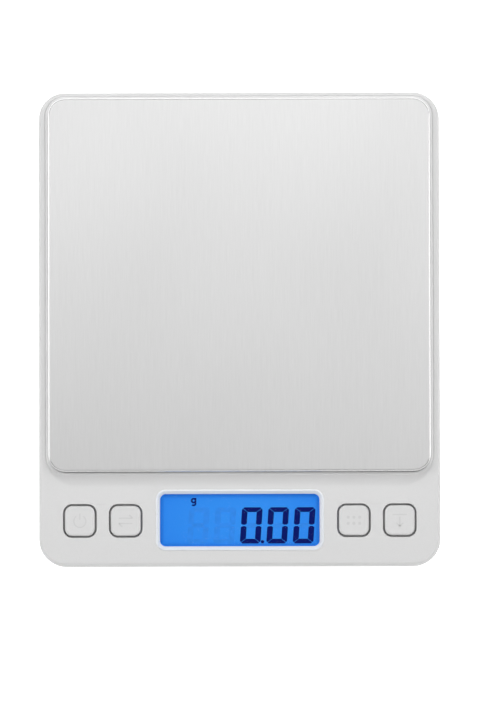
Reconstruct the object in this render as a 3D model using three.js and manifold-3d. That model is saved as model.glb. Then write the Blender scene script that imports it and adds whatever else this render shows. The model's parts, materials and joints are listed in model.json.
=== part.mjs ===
// A digital gram scale: a flat case with a stainless weighing platform, a lit readout and four buttons.
// Units are millimetres and +Z is up. The origin is on the table under the middle of the case.
// The control panel is at the front, towards -Y.
import * as THREE from 'three';
import { mergeVertices } from 'three/addons/utils/BufferGeometryUtils.js';
import Module from 'manifold-3d';

const wasm = await Module();
wasm.setup();

// ---- Driving dimensions ----

const gap = 0.3; // kept between pieces that don't bear on each other
const overcut = 1; // how far a cutting tool reaches past what it cuts
const overlap = 0.5; // how deep a joined block reaches into its neighbour
const cornerSteps = 3; // pairs of flats in each rounded corner
const fineCornerSteps = 5; // the same on the outlines of the case and the platform

// Case
const caseWidth = 106;
const caseDepth = 125.3;
const caseCorner = 7;
const caseEdge = 0.85; // rounding of the case's top and bottom edges
const wall = 1.8;
const baseZ = 1.2; // the feet hold the case this far off the table
const floorZ = baseZ + wall; // inside of the case's floor
const partingZ = 8.6;
const ceilingZ = 13.4; // underside of the control panel and of the deck below the platform
const deckZ = 14.6;
const panelZ = 15.4;
const frontY = -caseDepth / 2;
const lipOffset = 1.3; // from the case's outside to the lip that locates the two halves
const lipTopZ = 9.9;

// Weighing platform
const platformWidth = 100.8;
const platformDepth = 98.6;
const platformCorner = 4.5;
const platformEdge = 0.9;
const platformSheet = 0.6;
const platformSkirtZ = 15;
const platformTopZ = 19;
const platformBackMargin = 1.95; // from the case's back edge
const platformY = caseDepth / 2 - platformBackMargin - platformDepth / 2;
const platformGap = 0.35; // round the skirt

// Collar that stands up round the platform, and its blend down to the control panel
const collarZ = 16.2;
const collarWidth = 0.5;
const collarEdge = 0.2;
const collarChamfer = 0.2;
const blendReach = 3.2;
const blendRise = 0.6;
const blendSteps = 3;

// Plastic carrier under the platform, and the tape between the two
const tapeThickness = 0.3;
const tape = { length: 80, width: 14, y: 30 }; // y: from the platform's middle to each tape's
const carrierTopZ = platformTopZ - platformSheet - tapeThickness;
const carrierPlate = 1.6;
const carrierRibZ = 15.4;
const carrierRib = 1.4;
const ribPlaces = [-32, 0, 32]; // from the carrier's middle, both ways
const bossSize = 12.5; // square bosses that hold the load cell's two ends
const bossGap = 1.25; // round the carrier's boss, where it passes through the deck

// Load cell: an aluminium beam along X with a pair of joined holes across its middle
const beamLength = 47;
const beamWidth = 12;
const beamHeight = 6;
const beamZ = 4.6; // its underside
const beamTopZ = beamZ + beamHeight;
const beamHoleRadius = 2.2;
const beamHoleSpread = 5.5;
const beamSlot = 1.6;
const beamScrewColumns = [14, 20.5]; // from the middle of the beam, at each end
const beamBossX = (beamScrewColumns[0] + beamScrewColumns[1]) / 2;
const coating = { length: 16, width: 8, thickness: 0.7, corner: 2, edge: 0.2 };

// Screws
// Shares of the head's radius, of its height and of the shank's radius
const screwShape = { crown: 0.8, rim: 0.6, tip: 0.3 };
// Shares of the head's radius, twice, and of its height
const crossSlot = { length: 1.1, width: 0.22, depth: 0.55 };
const beamScrew = { head: 2.6, headHeight: 1.6, shank: 1.5, length: 6, sides: 12 };
const beamScrewFreeLength = 10.5;
const beamSeatZ = 3.2; // the fixed screws' heads bear here, from below
const beamFreeSeatZ = carrierTopZ - beamScrew.headHeight - 0.1; // the free ones bear here, from above
const caseScrew = { head: 2.4, headHeight: 1.6, shank: 1.25, length: 8.9, sides: 12 };
const caseSeatZ = 3.5;
const caseScrewPlaces = [[-46, -33], [46, -33], [-46, 36], [46, 36]];
const caseScrewRecess = 0.4; // round the heads
const caseBossRadius = 3.6;
const caseBossTopZ = 8.7;
const casePostRadius = 3.2;
const postRootZ = 14; // the upper half's posts grow from inside its ceiling
const pilotTopZ = 12.7;
const boardScrew = { head: 1.7, headHeight: 1, shank: 0.8, length: 4, sides: 8 };
const boardPostRadius = 1.8;
const boardPostX = 36.15;

// Feet
const footRadius = 4.5;
const footRecess = 0.6;
const footEdge = 0.5;
const footPlaces = { front_left: [-43.5, -53.5], front_right: [43.5, -53.5],
  back_left: [-43.5, 53.5], back_right: [43.5, 53.5] };

// Circuit board under the control panel
const boardWidth = 96;
const boardDepth = 19.4;
const boardTopZ = partingZ;
const boardThickness = 1.2;
const boardY = -50.7;
const boardPostRows = [boardY - 7.7, boardY + 7.7];
const controllerBlob = { radius: 4.5, height: 1.4, x: 8 };
const converterChip = { length: 6.2, width: 5, height: 1.5, x: -12 };

// Readout
const displayY = frontY + 12.05;
const displayOpening = { width: 42.1, depth: 13.8, corner: 1.5 };
const bezelWidth = 1.05; // sloping frame round the opening, seen from above
const bezelTopZ = 15.9;
const bezelSlopeZ = 15.2; // where the slope meets the opening
const bezelSleeve = 0.5;
const bezelEdge = 0.1;
const bezelRim = 0.15; // level strip round the top of the slope
const windowZ = 13.6;
const windowThickness = 1;
const glass = { width: 45.6, depth: 17.4, thickness: 1.8 };
const backlight = { width: 43, depth: 13.6 };
const contactStripWidth = 1.4;

// Buttons
const buttonColumns = { power: -42.2, mode: -30.1, count: 30.1, tare: 42.2 };
const buttonY = frontY + 11.9;
const buttonOpening = 8.85;
const buttonOpeningCorner = 2.4;
const buttonGap = 0.48;
const buttonEdge = 0.45;
const buttonTopZ = 15.9;
const buttonFlange = { size: 10, bottomZ: 12.2, topZ: 13 };
const switchSize = 6;
const switchTopZ = 11.6;
const switchWellZ = 10;
const plunger = { radius: 1.7, bottomZ: 10.8 };

// Battery bay: two AAA cells side by side along X, behind a door in the underside
const cell = { radius: 5.25, body: 43.5, nub: 1, nubRadius: 1.9, edge: 0.4 };
const cellSpacing = 10.8;
const bayLength = 49.4;
const bayWidth = 21.8;
const bayWall = 1.2;
const bayY = 43;
const bayTopZ = 9;
const floorRib = { x: 30, y: -5, length: 52, width: 1, height: 0.7 };
const cellZ = 8;
const contactThickness = 0.5;
const contact = { width: 8, bottomZ: 3.6, topZ: 11.4 };
const coil = { radius: 2.6, taper: 0.6, wire: 0.35, turns: 4, length: 3.3, clearance: 0.1 };

// Battery door
const doorThickness = 1.2;
const doorLedge = 2; // overlap of the door beyond the bay, all round
const doorGap = 0.4;
const doorRecess = 1.3;
const doorCorner = 1.5;
const doorTab = { width: 6, x: 15, reach: 1.2, root: 1, thickness: 0.5 };
const tabPocket = { lip: 0.4, depth: 0.7, height: 0.6 }; // what is left below, and the room behind and above
const doorLatch = { width: 7, thickness: 0.8, topZ: 4.4 };
const doorChamfer = 0.5;
const dish = { radius: 8, depth: 1 };

// ---- Materials ----

function plastic(color, roughness) {
  return new THREE.MeshStandardMaterial({ color, roughness, metalness: 0 });
}

function metal(color, roughness) {
  return new THREE.MeshStandardMaterial({ color, roughness, metalness: 1 });
}

const materials = {
  silverPlastic: () => plastic(0xd6d6d6, 0.45),
  whitePlastic: () => plastic(0xf0f2f4, 0.35),
  blackPlastic: () => plastic(0x26262a, 0.6),
  greyRubber: () => plastic(0x55565a, 0.9),
  brushedSteel: () => metal(0xd0d0d0, 0.35),
  aluminium: () => metal(0xb9bcc0, 0.4),
  zincSteel: () => metal(0xa8abae, 0.3),
  springSteel: () => metal(0xc8cacc, 0.25),
  circuitBoard: () => plastic(0x1d6b3a, 0.5),
  silicone: () => plastic(0xe9e9e4, 0.5),
  clearAcrylic: () => new THREE.MeshStandardMaterial({
    color: 0xe8f2ff, roughness: 0.05, transparent: true, opacity: 0.25 }),
  readout: () => plastic(0x2c86f2, 0.25),
  tape: () => plastic(0xeeeeea, 0.8),
  redInsulation: () => plastic(0xb5221d, 0.5),
  cellSleeve: () => plastic(0x3a5f8a, 0.35),
};

// ---- Shapes ----

function roundedRectangle(width, depth, corner, [x, y] = [0, 0]) {
  const right = width / 2 - corner;
  const back = depth / 2 - corner;
  const quarter = Math.PI / 2;
  const shape = new THREE.Shape();
  shape.absarc(x + right, y + back, corner, 0, quarter);
  shape.absarc(x - right, y + back, corner, quarter, 2 * quarter);
  shape.absarc(x - right, y - back, corner, 2 * quarter, 3 * quarter);
  shape.absarc(x + right, y - back, corner, 3 * quarter, 4 * quarter);
  return shape;
}

function polygon(radius, sides) {
  const corners = Array.from({ length: sides }, (_, side) => {
    const angle = (side / sides) * 2 * Math.PI;
    return new THREE.Vector2(radius * Math.cos(angle), radius * Math.sin(angle));
  });
  return new THREE.Shape(corners);
}

// A straight-sided solid between two heights.
function prism(shape, bottomZ, topZ, curveSegments = cornerSteps) {
  const options = { depth: topZ - bottomZ, bevelEnabled: false, curveSegments };
  return new THREE.ExtrudeGeometry(shape, options).translate(0, 0, bottomZ);
}

// A rounded block whose top and bottom edges are rounded too.
function softBlock(width, depth, corner, centre, bottomZ, topZ, edge,
  edgeSteps = 2, curveSegments = cornerSteps) {
  const shape = roundedRectangle(width - 2 * edge, depth - 2 * edge, corner - edge, centre);
  const options = { depth: topZ - bottomZ - 2 * edge, bevelThickness: edge, bevelSize: edge,
    bevelSegments: edgeSteps, curveSegments };
  return new THREE.ExtrudeGeometry(shape, options).translate(0, 0, bottomZ + edge);
}

// A solid whose outline grows by a margin, in a straight slope, up to a height and stays so above it.
// Upside down, with direction -1, the outline grows downwards instead.
function flare(shape, margin, slopeHeight, wideZ, direction) {
  const core = 1;
  const options = { depth: core, bevelThickness: slopeHeight, bevelSize: margin,
    bevelSegments: 1, curveSegments: cornerSteps };
  const start = direction > 0 ? wideZ : wideZ - core;
  return new THREE.ExtrudeGeometry(shape, options).translate(0, 0, start);
}

function box(width, depth, bottomZ, topZ, [x, y] = [0, 0]) {
  const geometry = new THREE.BoxGeometry(width, depth, topZ - bottomZ);
  return geometry.translate(x, y, (bottomZ + topZ) / 2);
}

function round(radius, bottomZ, topZ, [x, y] = [0, 0], sides = 16) {
  const geometry = new THREE.CylinderGeometry(radius, radius, topZ - bottomZ, sides);
  return geometry.rotateX(Math.PI / 2).translate(x, y, (bottomZ + topZ) / 2);
}

// A turned solid on the Z axis. The profile holds [radius, height] points from the bottom up.
function turned(profile, sides) {
  const points = profile.map(([radius, height]) => new THREE.Vector2(radius, height));
  return new THREE.LatheGeometry(points, sides).rotateX(Math.PI / 2);
}

function tube(curve, radius, sides, steps) {
  return new THREE.ExtrudeGeometry(polygon(radius, sides), { steps, extrudePath: curve });
}

// ---- Joining and cutting ----

function solid(piece) {
  if (!piece.isBufferGeometry) {
    return piece;
  }
  const plain = piece.clone();
  plain.deleteAttribute('normal');
  plain.deleteAttribute('uv');
  const merged = mergeVertices(plain);
  return new wasm.Manifold(new wasm.Mesh({
    numProp: 3,
    vertProperties: Float32Array.from(merged.attributes.position.array),
    triVerts: Uint32Array.from(merged.index.array),
  }));
}

function join(...pieces) {
  return pieces.map(solid).reduce((whole, piece) => whole.add(piece));
}

function cut(whole, ...tools) {
  return tools.map(solid).reduce((rest, tool) => rest.subtract(tool), solid(whole));
}

function common(first, second) {
  return solid(first).intersect(solid(second));
}

function asGeometry(piece) {
  if (piece.isBufferGeometry) {
    return piece;
  }
  const { vertProperties, triVerts } = piece.getMesh();
  const geometry = new THREE.BufferGeometry();
  geometry.setAttribute('position', new THREE.BufferAttribute(vertProperties, 3));
  geometry.setIndex(new THREE.BufferAttribute(triVerts, 1));
  geometry.computeVertexNormals();
  return geometry;
}

// ---- Assembly ----

const scale = new THREE.Group();

function add(name, piece, material, [x, y, z] = [0, 0, 0]) {
  const mesh = new THREE.Mesh(asGeometry(piece), material());
  mesh.name = name;
  mesh.position.set(x, y, z);
  scale.add(mesh);
  return mesh;
}

// ---- Case ----

// The case's outline, moved inwards by an offset.
function caseOutline(offset) {
  return roundedRectangle(caseWidth - 2 * offset, caseDepth - 2 * offset, caseCorner - offset);
}

function caseBlank() {
  return softBlock(caseWidth, caseDepth, caseCorner, [0, 0], baseZ, panelZ, caseEdge, 3, fineCornerSteps);
}

const opening = { width: platformWidth + 2 * platformGap, depth: platformDepth + 2 * platformGap,
  corner: platformCorner + platformGap };
const collar = { width: opening.width + 2 * collarWidth, depth: opening.depth + 2 * collarWidth,
  corner: opening.corner + collarWidth };

function openingOutline() {
  return roundedRectangle(opening.width, opening.depth, opening.corner, [0, platformY]);
}

// The panel rises to the collar in a shallow hollow curve, made of sloping rings.
function collarBlend() {
  const rings = Array.from({ length: blendSteps }, (_, step) => {
    const outer = (blendReach * step) / blendSteps;
    const inner = (blendReach * (step + 1)) / blendSteps;
    const low = blendRise * (outer / blendReach) ** 2;
    const high = blendRise * (inner / blendReach) ** 2;
    const centre = [0, platformY - blendReach / 2];
    const shape = roundedRectangle(collar.width - 2 * inner, collar.depth + blendReach - 2 * inner,
      collar.corner + blendReach - inner, centre);
    return flare(shape, inner - outer, high - low, panelZ + low, -1);
  });
  return join(...rings);
}

// The outline of the sleeve under the readout's frame, or of the hole that holds it with a margin round it.
function displaySleeveOutline(margin) {
  const { width, depth, corner } = displayOpening;
  const offset = bezelSleeve + margin;
  return roundedRectangle(width + 2 * offset, depth + 2 * offset, corner + offset, [0, displayY]);
}

function buttonOpeningOutline(x) {
  return roundedRectangle(buttonOpening, buttonOpening, buttonOpeningCorner, [x, buttonY]);
}

function pilotHoles(places, { shank }) {
  return places.map((place) => round(shank + gap, 0, pilotTopZ, place, 8));
}

function topCover() {
  const shell = common(caseBlank(), box(caseWidth, caseDepth, partingZ + gap / 2, panelZ));
  const hollowed = cut(shell,
    prism(caseOutline(wall), 0, ceilingZ),
    prism(caseOutline(lipOffset - gap), 0, lipTopZ + gap));
  const raisedCollar = softBlock(collar.width, collar.depth, collar.corner, [0, platformY],
    ceilingZ, collarZ, collarEdge, 1);
  const casePosts = caseScrewPlaces.map((place) =>
    round(casePostRadius, caseBossTopZ + gap, postRootZ, place, 12));
  const boardPosts = boardScrewPlaces().map((place) =>
    round(boardPostRadius, boardTopZ, postRootZ, place, 12));
  const blank = join(hollowed, raisedCollar, collarBlend(), ...casePosts, ...boardPosts);
  const panelHoles = [displaySleeveOutline(gap), ...Object.values(buttonColumns).map(buttonOpeningOutline)];
  const bossHole = bossSize + 2 * bossGap;
  return cut(blank,
    prism(openingOutline(), deckZ, collarZ + overcut),
    flare(openingOutline(), collarChamfer, collarChamfer, collarZ, 1),
    box(bossHole, bossHole, ceilingZ - overcut, deckZ + overcut, [beamBossX, platformY]),
    ...panelHoles.map((outline) => prism(outline, ceilingZ - overcut, panelZ + overcut)),
    ...pilotHoles(caseScrewPlaces, caseScrew),
    ...pilotHoles(boardScrewPlaces(), boardScrew));
}

function boardScrewPlaces() {
  return [-boardPostX, boardPostX].flatMap((x) => boardPostRows.map((y) => [x, y]));
}

function bottomCase() {
  const rootZ = floorZ - overlap;
  const shell = common(caseBlank(), box(caseWidth, caseDepth, baseZ, partingZ - gap / 2));
  const tray = cut(shell, prism(caseOutline(wall), floorZ, panelZ));
  const lip = cut(
    prism(caseOutline(lipOffset), rootZ, lipTopZ),
    prism(caseOutline(wall), 0, panelZ));
  const bosses = caseScrewPlaces.map((place) => round(caseBossRadius, rootZ, caseBossTopZ, place, 12));
  const beamBoss = box(bossSize, bossSize, rootZ, beamZ, [-beamBossX, platformY]);
  const bayWalls = box(bayLength + 2 * bayWall, bayWidth + 2 * bayWall, rootZ, bayTopZ, [0, bayY]);
  const floorRibs = [-floorRib.x, floorRib.x].map((x) =>
    box(floorRib.width, floorRib.length, rootZ, floorZ + floorRib.height, [x, floorRib.y]));
  const footHoles = Object.values(footPlaces).map((place) =>
    round(footRadius + gap, 0, baseZ + footRecess, place, 24));
  const caseScrewHoles = caseScrewPlaces.flatMap((place) => [
    round(caseScrew.head + caseScrewRecess, 0, caseSeatZ, place),
    round(caseScrew.shank + gap, 0, panelZ, place, 8)]);
  const beamScrewHoles = beamScrewColumns.flatMap((x) => [
    round(beamScrew.head + gap, 0, beamSeatZ, [-x, platformY]),
    round(beamScrew.shank + gap, 0, panelZ, [-x, platformY], 8)]);
  return cut(join(tray, lip, ...bosses, beamBoss, bayWalls, ...floorRibs),
    box(bayLength, bayWidth, 0, panelZ, [0, bayY]),
    doorSeat(),
    fingerDish(),
    ...doorTabPockets(),
    ...footHoles,
    ...caseScrewHoles,
    ...beamScrewHoles);
}

function feet() {
  const height = baseZ + footRecess;
  const profile = [[0, 0], [footRadius - footEdge, 0], [footRadius - 0.3 * footEdge, 0.3 * footEdge],
    [footRadius, footEdge], [footRadius, height], [0, height]];
  for (const [corner, [x, y]] of Object.entries(footPlaces)) {
    add(`foot_${corner}`, turned(profile, 24), materials.greyRubber, [x, y, 0]);
  }
}

// ---- Screws ----

// A pan-head screw pointing up, whose head bears at height 0.
function plainScrew({ head, headHeight, shank, length, sides }) {
  const { crown, rim, tip } = screwShape;
  const profile = [[0, -headHeight], [head * crown, -headHeight], [head, -headHeight * rim], [head, 0],
    [shank, 0], [shank, length - shank], [shank * tip, length], [0, length]];
  return turned(profile, sides);
}

// The same with a cross-shaped drive, for a head that shows.
function crossScrew(size) {
  const { head, headHeight } = size;
  const length = head * crossSlot.length;
  const width = head * crossSlot.width;
  const topZ = headHeight * (crossSlot.depth - 1);
  return cut(plainScrew(size),
    box(length, width, -headHeight - overcut, topZ),
    box(width, length, -headHeight - overcut, topZ));
}

function caseScrews() {
  caseScrewPlaces.forEach(([x, y], index) => {
    add(`case_screw_${index + 1}`, crossScrew(caseScrew), materials.zincSteel, [x, y, caseSeatZ]);
  });
}

function boardScrews() {
  boardScrewPlaces().forEach(([x, y], index) => {
    const seatZ = boardTopZ - boardThickness;
    add(`board_screw_${index + 1}`, plainScrew(boardScrew), materials.zincSteel, [x, y, seatZ]);
  });
}

function beamScrews() {
  beamScrewColumns.forEach((x, index) => {
    const fixed = crossScrew(beamScrew);
    add(`beam_screw_fixed_${index + 1}`, fixed, materials.zincSteel, [-x, platformY, beamSeatZ]);
    const free = plainScrew({ ...beamScrew, length: beamScrewFreeLength });
    const mesh = add(`beam_screw_free_${index + 1}`, free, materials.zincSteel,
      [x, platformY, beamFreeSeatZ]);
    mesh.rotation.x = Math.PI;
  });
}

// ---- Load cell ----

function loadCell() {
  const middleZ = beamZ + beamHeight / 2;
  const bores = [-beamHoleSpread, beamHoleSpread].map((x) => {
    const bore = new THREE.CylinderGeometry(beamHoleRadius, beamHoleRadius, beamWidth + 2 * overcut, 16);
    return bore.translate(x, platformY, middleZ);
  });
  const slot = box(2 * beamHoleSpread, beamWidth + 2 * overcut,
    middleZ - beamSlot / 2, middleZ + beamSlot / 2, [0, platformY]);
  const screwHoles = beamScrewColumns.flatMap((x) => [-x, x]).map((x) =>
    round(beamScrew.shank + gap, 0, beamTopZ + overcut, [x, platformY], 12));
  const blank = box(beamLength, beamWidth, beamZ, beamTopZ, [0, platformY]);
  add('load_cell', cut(blank, ...bores, slot, ...screwHoles), materials.aluminium);
  const { length, width, thickness, corner, edge } = coating;
  const pad = () => softBlock(length, width, corner, [0, 0], 0, thickness, edge, 1);
  add('gauge_coating_top', pad(), materials.silicone, [0, platformY, beamTopZ]);
  add('gauge_coating_bottom', pad(), materials.silicone, [0, platformY, beamZ - thickness]);
}

// ---- Platform ----

function weighingPlatform() {
  const inner = { width: platformWidth - 2 * platformSheet, depth: platformDepth - 2 * platformSheet };
  const blank = softBlock(platformWidth, platformDepth, platformCorner, [0, platformY],
    platformSkirtZ - platformEdge, platformTopZ, platformEdge, 3, fineCornerSteps);
  const pan = cut(blank,
    box(caseWidth, caseDepth, 0, platformSkirtZ),
    prism(roundedRectangle(inner.width, inner.depth, platformCorner - platformSheet, [0, platformY]),
      0, platformTopZ - platformSheet));
  add('weighing_platform', pan, materials.brushedSteel);
}

function platformCarrier() {
  const width = platformWidth - 2 * platformSheet - 2 * gap;
  const depth = platformDepth - 2 * platformSheet - 2 * gap;
  const outline = roundedRectangle(width, depth, platformCorner - platformSheet - gap, [0, platformY]);
  const plateZ = carrierTopZ - carrierPlate;
  const rootZ = plateZ + overlap;
  const plate = prism(outline, plateZ, carrierTopZ);
  const rim = cut(prism(outline, carrierRibZ, rootZ),
    box(width - 2 * carrierRib, depth - 2 * carrierRib, 0, plateZ, [0, platformY]));
  const ribsAcross = ribPlaces.map((y) =>
    box(width - carrierRib, carrierRib, carrierRibZ, rootZ, [0, platformY + y]));
  const ribsAlong = ribPlaces.map((x) =>
    box(carrierRib, depth - carrierRib, carrierRibZ, rootZ, [x, platformY]));
  const boss = box(bossSize, bossSize, beamTopZ, rootZ, [beamBossX, platformY]);
  const screwHoles = beamScrewColumns.flatMap((x) => [
    round(beamScrew.head + gap, beamFreeSeatZ, carrierTopZ + overcut, [x, platformY]),
    round(beamScrew.shank + gap, 0, carrierTopZ + overcut, [x, platformY], 8)]);
  const carrier = cut(join(plate, rim, ...ribsAcross, ...ribsAlong, boss), ...screwHoles);
  add('platform_carrier', carrier, materials.blackPlastic);
  for (const [side, y] of [['front', -tape.y], ['back', tape.y]]) {
    const strip = box(tape.length, tape.width, 0, tapeThickness);
    add(`adhesive_tape_${side}`, strip, materials.tape, [0, platformY + y, carrierTopZ]);
  }
}

// ---- Readout and circuit board ----

function displayBezel() {
  const { width, depth, corner } = displayOpening;
  const flange = softBlock(width + 2 * bezelWidth, depth + 2 * bezelWidth, corner + bezelWidth, [0, displayY],
    panelZ, bezelTopZ + overcut, bezelEdge, 1);
  const above = box(caseWidth, caseDepth, bezelTopZ, bezelTopZ + 2 * overcut);
  const sleeve = prism(displaySleeveOutline(0), ceilingZ, panelZ + 2 * bezelEdge);
  const hole = roundedRectangle(width, depth, corner, [0, displayY]);
  const bezel = cut(join(cut(flange, above), sleeve),
    prism(hole, 0, platformTopZ),
    flare(hole, bezelWidth - bezelRim, bezelTopZ - bezelSlopeZ, bezelTopZ, 1));
  add('display_bezel', bezel, materials.whitePlastic);
}

function readout() {
  const { width, depth, corner } = displayOpening;
  const pane = prism(roundedRectangle(width - 2 * gap, depth - 2 * gap, corner - gap), 0, windowThickness);
  add('display_window', pane, materials.clearAcrylic, [0, displayY, windowZ]);
  const glassZ = ceilingZ - glass.thickness;
  const lowerHeight = glassZ - boardTopZ;
  add('lcd_glass', box(glass.width, glass.depth, 0, glass.thickness), materials.readout,
    [0, displayY, glassZ]);
  add('lcd_backlight', box(backlight.width, backlight.depth, 0, lowerHeight), materials.whitePlastic,
    [0, displayY, boardTopZ]);
  const stripY = (glass.depth - contactStripWidth) / 2;
  for (const [side, y] of [['front', -stripY], ['back', stripY]]) {
    const strip = box(backlight.width, contactStripWidth, 0, lowerHeight);
    add(`lcd_contact_strip_${side}`, strip, materials.greyRubber, [0, displayY + y, boardTopZ]);
  }
}

function mainBoard() {
  const underZ = boardTopZ - boardThickness;
  const outline = roundedRectangle(boardWidth, boardDepth, 1, [0, boardY]);
  const holes = boardScrewPlaces().map((place) => round(boardScrew.shank + gap, 0, platformTopZ, place, 8));
  add('main_board', cut(prism(outline, underZ, boardTopZ), ...holes), materials.circuitBoard);
  add('controller_chip', turned(blobProfile(controllerBlob), 12), materials.blackPlastic,
    [controllerBlob.x, boardY, underZ]);
  const { length, width, height, x } = converterChip;
  add('converter_chip', box(length, width, -height, 0), materials.blackPlastic, [x, boardY, underZ]);
}

// A drop of resin that hangs from height 0.
function blobProfile({ radius, height }) {
  const steps = 3;
  const curve = Array.from({ length: steps + 1 }, (_, step) => {
    const angle = (step / steps) * (Math.PI / 2);
    return [radius * Math.sin(angle), -height * Math.cos(angle)];
  });
  return [...curve, [0, 0]];
}

// ---- Buttons ----

function buttons() {
  const size = buttonOpening - 2 * buttonGap;
  const corner = buttonOpeningCorner - buttonGap;
  for (const [name, x] of Object.entries(buttonColumns)) {
    const cap = softBlock(size, size, corner, [0, 0], buttonFlange.bottomZ, buttonTopZ, buttonEdge);
    const flange = prism(roundedRectangle(buttonFlange.size, buttonFlange.size, corner),
      buttonFlange.bottomZ, buttonFlange.topZ);
    add(`${name}_button`, join(cap, flange), materials.silverPlastic, [x, buttonY, 0]);
    const stem = round(plunger.radius, plunger.bottomZ, buttonFlange.bottomZ, [0, 0], 12);
    add(`switch_plunger_${name}`, stem, materials.blackPlastic, [x, buttonY, 0]);
    const body = cut(box(switchSize, switchSize, boardTopZ, switchTopZ),
      round(plunger.radius + gap, switchWellZ, switchTopZ + overcut, [0, 0], 12));
    add(`switch_body_${name}`, body, materials.blackPlastic, [x, buttonY, 0]);
  }
}

// ---- Batteries ----

// The front cell's positive end points to +X and the back cell's to -X.
const cellRows = {
  front: { y: bayY - cellSpacing / 2, facing: 1 },
  back: { y: bayY + cellSpacing / 2, facing: -1 },
};

function batteries() {
  const { radius, body, nub, nubRadius, edge } = cell;
  const profile = [[0, 0], [radius - edge, 0], [radius, edge], [radius, body - edge], [radius - edge, body],
    [nubRadius, body], [nubRadius, body + nub], [0, body + nub]];
  const tipX = bayLength / 2 - contactThickness - gap;
  for (const [row, { y, facing }] of Object.entries(cellRows)) {
    const mesh = add(`battery_${row}`, turned(profile, 16), materials.cellSleeve,
      [facing * (tipX - body - nub), y, cellZ]);
    mesh.rotation.y = (facing * Math.PI) / 2;
  }
}

// The line of a conical spring that stands on height 0.
class Helix extends THREE.Curve {
  getPoint(t, target = new THREE.Vector3()) {
    const angle = 2 * Math.PI * coil.turns * t;
    const radius = coil.radius - coil.wire - coil.taper * t;
    const height = coil.wire + (coil.length - 2 * coil.wire) * t;
    return target.set(radius * Math.cos(angle), radius * Math.sin(angle), height);
  }
}

function batteryContacts() {
  const endX = bayLength / 2;
  const plate = (name, x, y, width) => {
    const { bottomZ, topZ } = contact;
    add(name, box(contactThickness, width, bottomZ, topZ), materials.springSteel, [x, y, 0]);
  };
  const plateX = endX - contactThickness / 2;
  plate('battery_negative_plate', -plateX, cellRows.front.y, contact.width);
  plate('battery_positive_plate', -plateX, cellRows.back.y, contact.width);
  plate('battery_bridge_plate', plateX, bayY, cellSpacing + contact.width);
  for (const [row, { y, facing }] of Object.entries(cellRows)) {
    const mesh = add(`battery_spring_${row}`, tube(new Helix(), coil.wire, 4, 32), materials.springSteel,
      [-facing * (endX - contactThickness - coil.clearance), y, cellZ]);
    mesh.rotation.y = (facing * Math.PI) / 2;
  }
}

// ---- Battery door ----

const doorLength = bayLength + 2 * doorLedge - 2 * doorGap;
const doorWidth = bayWidth + 2 * doorLedge - 2 * doorGap;
const doorFrontY = bayY - doorWidth / 2;

function doorSeat() {
  const outline = roundedRectangle(doorLength + 2 * doorGap, doorWidth + 2 * doorGap, doorCorner, [0, bayY]);
  return prism(outline, 0, baseZ + doorRecess);
}

// Each tab of the door reaches over a thin lip of the case, in a pocket that leaves it room to tilt.
function doorTabPockets() {
  const frontY = doorFrontY - doorTab.reach - doorGap;
  const backY = doorFrontY + tabPocket.depth;
  return [-doorTab.x, doorTab.x].map((x) => box(doorTab.width + 2 * doorGap, backY - frontY,
    baseZ + tabPocket.lip, floorZ + tabPocket.height, [x, (frontY + backY) / 2]));
}

// A shallow dish behind the door's free edge, for a fingertip.
function fingerDish() {
  const ball = new THREE.SphereGeometry(dish.radius, 24, 16);
  return ball.translate(0, bayY + doorWidth / 2 + doorGap, baseZ + dish.depth - dish.radius);
}

function batteryDoor() {
  const topZ = baseZ + doorThickness;
  const plate = prism(roundedRectangle(doorLength, doorWidth, doorCorner - doorGap, [0, bayY]), baseZ, topZ);
  const side = doorChamfer * Math.SQRT2;
  const frontChamfer = box(doorLength + 2 * overcut, side, -side / 2, side / 2);
  frontChamfer.rotateX(Math.PI / 4).translate(0, doorFrontY, baseZ);
  const { width, x: tabX, reach, root, thickness } = doorTab;
  const tabY = doorFrontY + (root - reach) / 2;
  const tabs = [-tabX, tabX].map((x) => box(width, reach + root, topZ - thickness, topZ, [x, tabY]));
  const latchY = bayY + bayWidth / 2 - gap - doorLatch.thickness / 2;
  const latch = box(doorLatch.width, doorLatch.thickness, topZ - overlap, doorLatch.topZ, [0, latchY]);
  add('battery_door', join(cut(plate, frontChamfer), ...tabs, latch), materials.silverPlastic);
}

// ---- Wiring inside the case ----

function wire(name, points, radius, material) {
  const curve = new THREE.CatmullRomCurve3(points.map(([x, y, z]) => new THREE.Vector3(x, y, z)));
  add(name, tube(curve, radius, 6, 18), material);
}

function wiring() {
  const thick = 0.8;
  const thin = 0.55;
  wire('load_cell_cable', [[-9.5, platformY, 12], [-12, 8.5, 12.2], [-14.5, 3.5, 11.6], [-18, -4, 7.5],
    [-22, -15, 5], [-25, -28, 5.5], [-26.5, -37, 9.6], [-26.5, -42.6, 9.8]], thick, materials.blackPlastic);
  wire('battery_lead_black', [[-27.4, cellRows.front.y - 1, 7], [-32, 32, 5.2], [-34, 18, 4.8],
    [-34, -14, 4.8], [-31, -30, 6], [-29, -38, 9.4], [-29, -42.6, 9.6]], thin, materials.blackPlastic);
  wire('battery_lead_red', [[-27.4, cellRows.back.y - 1, 7], [-33, 42, 5.2], [-37, 24, 4.8],
    [-37, -14, 4.8], [-33.5, -30, 6], [-31.2, -38, 9.4], [-31.2, -42.6, 9.6]], thin, materials.redInsulation);
}

// ---- The whole scale ----

add('bottom_case', bottomCase(), materials.silverPlastic);
add('top_cover', topCover(), materials.silverPlastic);
feet();
caseScrews();
loadCell();
beamScrews();
weighingPlatform();
platformCarrier();
mainBoard();
boardScrews();
displayBezel();
readout();
buttons();
batteries();
batteryContacts();
batteryDoor();
wiring();

export default scale;
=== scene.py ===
"""Looks of the digital gram scale: fine meshes, materials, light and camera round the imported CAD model."""

import json
import math

import bmesh
import bpy
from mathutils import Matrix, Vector
from mathutils.geometry import tessellate_polygon

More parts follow.
